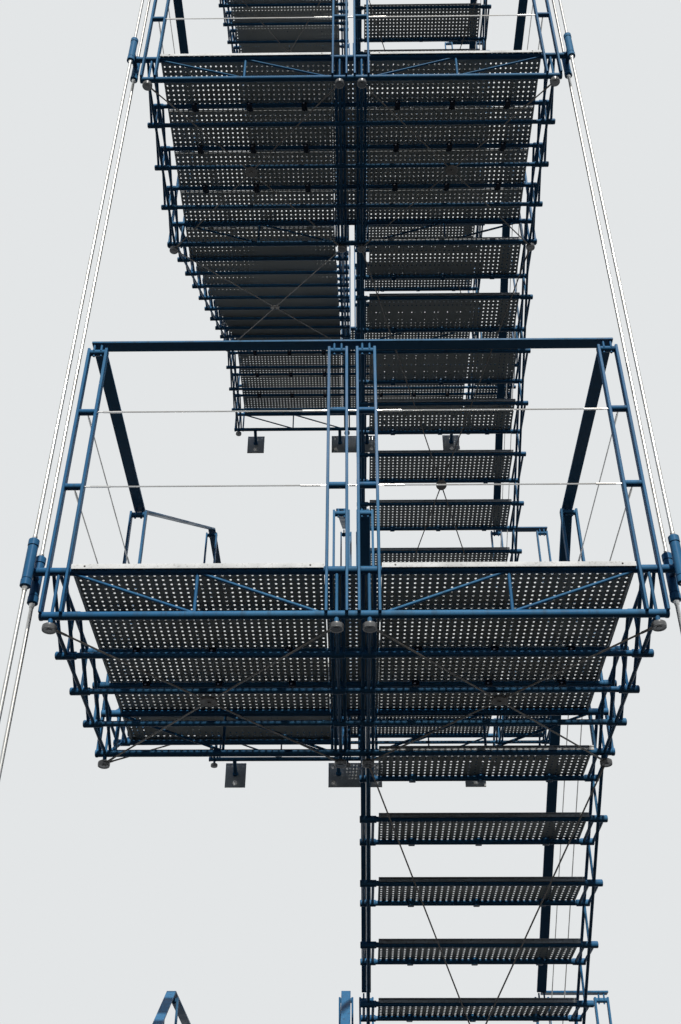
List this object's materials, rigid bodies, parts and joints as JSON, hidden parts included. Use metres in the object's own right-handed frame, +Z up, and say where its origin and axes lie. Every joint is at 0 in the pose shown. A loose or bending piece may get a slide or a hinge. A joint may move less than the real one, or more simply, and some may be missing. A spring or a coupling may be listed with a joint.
{
  "type": "fire escape stair",
  "caption": "Outdoor fire escape stair with side by side flights of perforated treads on tubular trusses, landings hung from rods and fixed to a wall.",
  "frame": {"origin": "centre of the back face of the lowest middle wall plate", "axes": "+Z up, +Y into the wall, +X along the wall to the right as seen from in front"},
  "size_m": [2.784, 5.044, 13.724],
  "materials": {
    "blue_paint": "satin blue paint",
    "deck_plate": "dull perforated plate",
    "bright_steel": "bright steel",
    "dull_steel": "dark weathered steel",
    "dark_paint": "dark blue paint"
  },
  "bodies": {
    "root": {"outer_frame_1": "blue_paint", "outer_deck_1": "deck_plate", "outer_posts_1": "blue_paint", "outer_frame_2": "blue_paint", "outer_deck_2": "deck_plate", "outer_posts_2": "blue_paint", "outer_frame_3": "blue_paint", "outer_deck_3": "deck_plate", "outer_posts_3": "blue_paint", "inner_frame_1": "blue_paint", "inner_deck_1": "deck_plate", "inner_posts_1": "blue_paint", "inner_frame_2": "blue_paint", "inner_deck_2": "deck_plate", "inner_posts_2": "blue_paint", "inner_frame_3": "blue_paint", "inner_deck_3": "deck_plate", "inner_posts_3": "blue_paint", "inner_frame_4": "blue_paint", "inner_deck_4": "deck_plate", "inner_posts_4": "blue_paint", "treads_1": "deck_plate", "stringers_1": "blue_paint", "rails_1": "blue_paint", "treads_2": "deck_plate", "stringers_2": "blue_paint", "rails_2": "blue_paint", "treads_3": "deck_plate", "stringers_3": "blue_paint", "rails_3": "blue_paint", "treads_4": "deck_plate", "stringers_4": "blue_paint", "rails_4": "blue_paint", "treads_5": "deck_plate", "stringers_5": "blue_paint", "rails_5": "blue_paint", "treads_6": "deck_plate", "stringers_6": "blue_paint", "rails_6": "blue_paint", "treads_7": "deck_plate", "stringers_7": "blue_paint", "rails_7": "blue_paint", "hanger_rods": "bright_steel", "underside_braces": "dull_steel", "anchor_plates": "dark_paint"}
  },
  "joints": []
}
